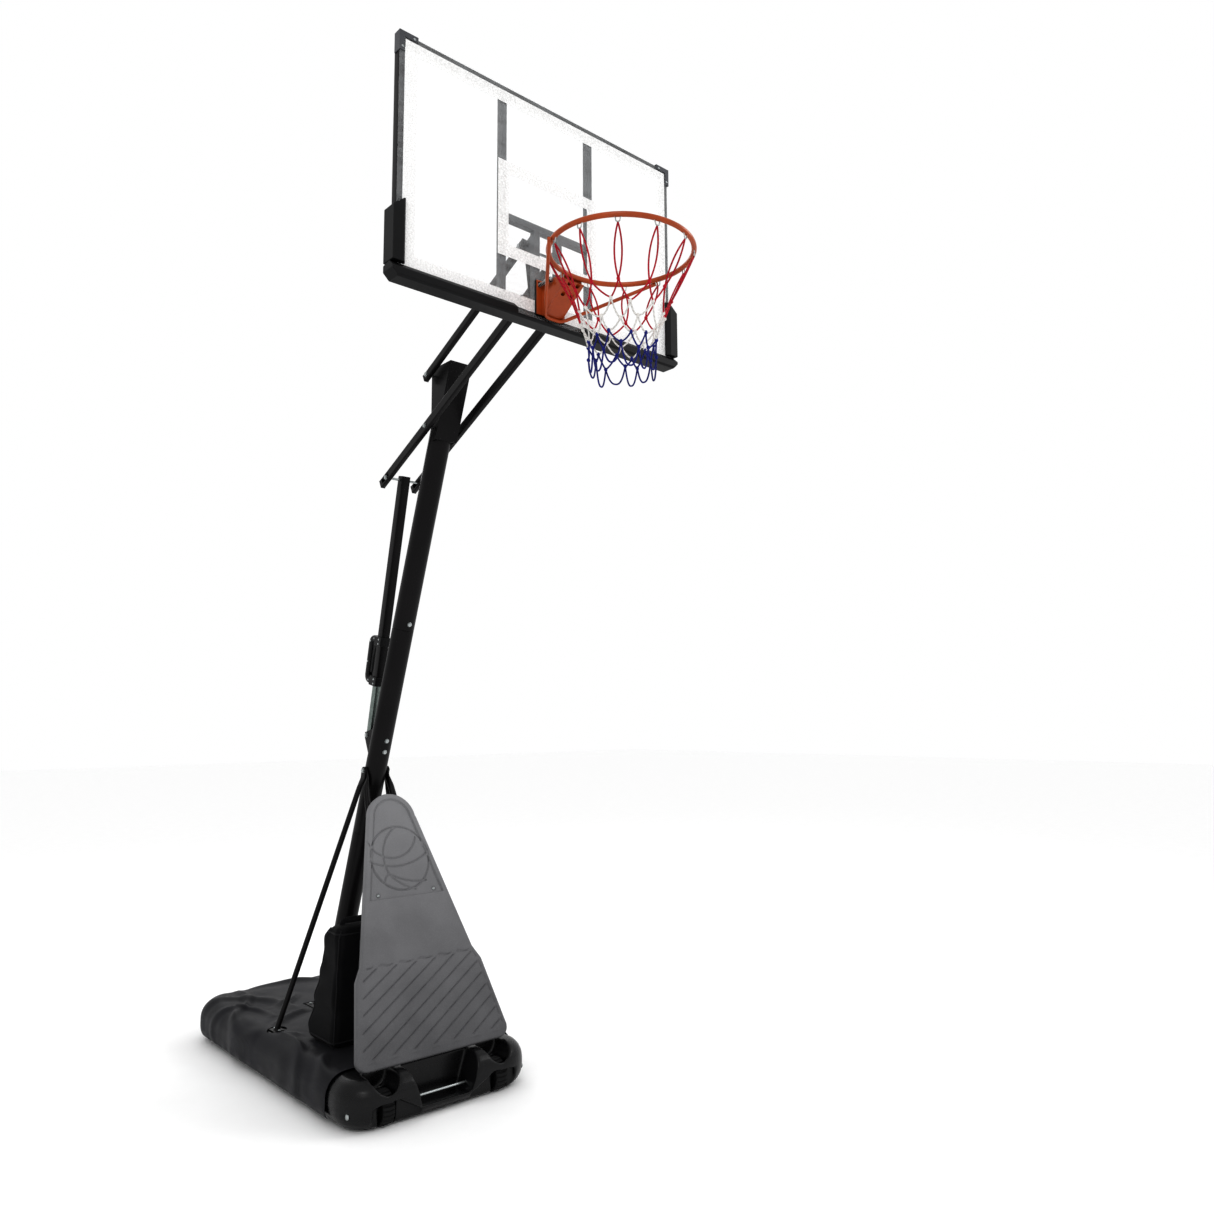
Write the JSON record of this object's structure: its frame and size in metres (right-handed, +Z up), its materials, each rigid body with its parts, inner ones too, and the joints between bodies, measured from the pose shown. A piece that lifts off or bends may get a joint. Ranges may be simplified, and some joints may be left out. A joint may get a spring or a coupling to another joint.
{
  "type": "portable basketball hoop",
  "caption": "Portable basketball hoop: wheeled water base, leaning pole, clear board raised by a parallelogram lift and squeeze-handle strut, and a breakaway rim with net",
  "frame": {"origin": "on the floor, under the middle of the tank's flat underside", "axes": "+Z up, the rim and board towards -Y, +X to the right of someone behind the pole who faces the board"},
  "size_m": [1.263, 2.7297, 3.6283],
  "materials": {
    "tank_plastic": "blow-moulded black polyethylene, satin",
    "water": "clear ballast water",
    "cover_cloth": "coated dark navy cloth",
    "bag_cloth": "black woven cloth with piping",
    "wheel_plastic": "black moulded wheel",
    "black_steel": "black powder coat, satin",
    "zinc": "bright zinc-plated fasteners",
    "zinc_tube": "zinc-plated tube with a slight green cast",
    "panel_plastic": "dark grey moulded plastic, fine grain",
    "handle_plastic": "black moulded nylon",
    "acrylic": "clear acrylic sheet with printed white lines",
    "grey_steel": "dark grey paint",
    "pad_plastic": "black moulded edge guard, satin",
    "cap_plastic": "mid-grey moulded plastic",
    "orange_steel": "orange powder coat",
    "net_cord": "red, white and blue braided cord"
  },
  "bodies": {
    "root": {"tank": "tank_plastic", "ballast_water": "water", "base_cover": "cover_cloth", "storage_bag": "bag_cloth", "wheel_axle": "zinc", "pole_lower": "black_steel", "pole_middle": "black_steel", "pole_upper": "black_steel", "pole_joint_bolt": "zinc", "pole_foot": "black_steel", "pole_foot_bolt": "zinc", "strut_bracket": "black_steel", "strut_bracket_bolt_upper": "zinc", "strut_bracket_bolt_lower": "zinc", "brace_left": "black_steel", "brace_right": "black_steel", "panel_strut_left": "black_steel", "panel_strut_right": "black_steel", "brace_bolt": "zinc", "front_panel": "panel_plastic", "top_bracket": "black_steel", "lower_pivot_bolt": "zinc", "upper_pivot_bolt": "zinc", "strut_foot_bolt": "zinc"},
    "filler": {"fill_cap": "tank_plastic"},
    "left_wheel": {"wheel_left": "wheel_plastic"},
    "right_wheel": {"wheel_right": "wheel_plastic"},
    "lower_arms": {"lower_arm_left": "black_steel", "lower_arm_right": "black_steel"},
    "upper_arms": {"upper_arm_left": "black_steel", "upper_arm_right": "black_steel"},
    "board": {"backboard_sheet": "acrylic", "frame_top": "black_steel", "frame_bottom": "black_steel", "frame_left": "black_steel", "frame_right": "black_steel", "bar_left": "grey_steel", "bar_right": "grey_steel", "board_carrier": "grey_steel", "front_pivot_bolt_lower": "zinc", "front_pivot_bolt_upper": "zinc", "pad_bottom": "pad_plastic", "pad_left": "pad_plastic", "pad_right": "pad_plastic", "corner_cap_left": "cap_plastic", "corner_cap_right": "cap_plastic", "rim_plate": "orange_steel", "rim_spring_left": "zinc", "rim_spring_right": "zinc"},
    "rim": {"rim_bracket": "orange_steel", "rim_ring": "orange_steel", "rim_brace": "orange_steel", "net": "net_cord"},
    "inner_strut": {"strut_inner": "zinc_tube"},
    "outer_strut": {"strut_outer": "black_steel", "cross_pin": "zinc", "handle_collar_lower": "handle_plastic", "handle_collar_upper": "handle_plastic", "handle_grip": "handle_plastic"},
    "trigger": {"handle_trigger": "handle_plastic"}
  },
  "joints": [
    {"name": "lift", "type": "hinge", "parent": "root", "child": "lower_arms", "pos_m": [0, -0.71, 2.585], "axis": [1, 0, 0], "range_deg": [-11.7, 41.8]},
    {"name": "upper_arm_swing", "type": "hinge", "parent": "root", "child": "upper_arms", "pos_m": [0, -0.715, 2.795], "axis": [1, 0, 0], "range_deg": [-12.5, 42.5]},
    {"name": "board_tilt", "type": "hinge", "parent": "lower_arms", "child": "board", "pos_m": [0, -1.33174, 2.88422], "axis": [1, 0, 0], "range_deg": [-42.5, 12.5]},
    {"name": "strut_swing", "type": "hinge", "parent": "root", "child": "inner_strut", "pos_m": [0, -0.163, 1.358], "axis": [1, 0, 0], "range_deg": [-4.9, 1.6]},
    {"name": "strut_slide", "type": "slide", "parent": "inner_strut", "child": "outer_strut", "axis": [0, -0.2196, 0.9756], "range_m": [-0.07, 0.242]},
    {"name": "trigger_squeeze", "type": "hinge", "parent": "outer_strut", "child": "trigger", "pos_m": [0, -0.19512, 1.76488], "axis": [1, 0, 0], "range_deg": [0, 6], "stiffness_Nm_per_rad": 1.5, "springref_deg": -11.46},
    {"name": "rim_breakaway", "type": "hinge", "parent": "board", "child": "rim", "pos_m": [0, -1.41, 2.828], "axis": [1, 0, 0], "range_deg": [0, 15], "stiffness_Nm_per_rad": 150, "springref_deg": -22.92, "deforming": ["rim_spring_left", "rim_spring_right"]},
    {"name": "left_wheel_roll", "type": "hinge", "parent": "root", "child": "left_wheel", "pos_m": [-0.24, -0.75, 0.0603], "axis": [1, 0, 0], "continuous": true},
    {"name": "right_wheel_roll", "type": "hinge", "parent": "root", "child": "right_wheel", "pos_m": [0.24, -0.75, 0.0603], "axis": [1, 0, 0], "continuous": true},
    {"name": "fill_cap_turn", "type": "hinge", "parent": "root", "child": "filler", "pos_m": [0.205, 0.56, 0.165], "axis": [0, 0, 1], "continuous": true}
  ],
  "couplings": [
    {"joint": "upper_arm_swing", "follows": "lift", "ratio": 1},
    {"joint": "board_tilt", "follows": "lift", "ratio": -1},
    {"joint": "strut_swing", "follows": "lift", "ratio": -0.10871},
    {"joint": "strut_slide", "follows": "lift", "m_per_rad": 0.32739}
  ]
}
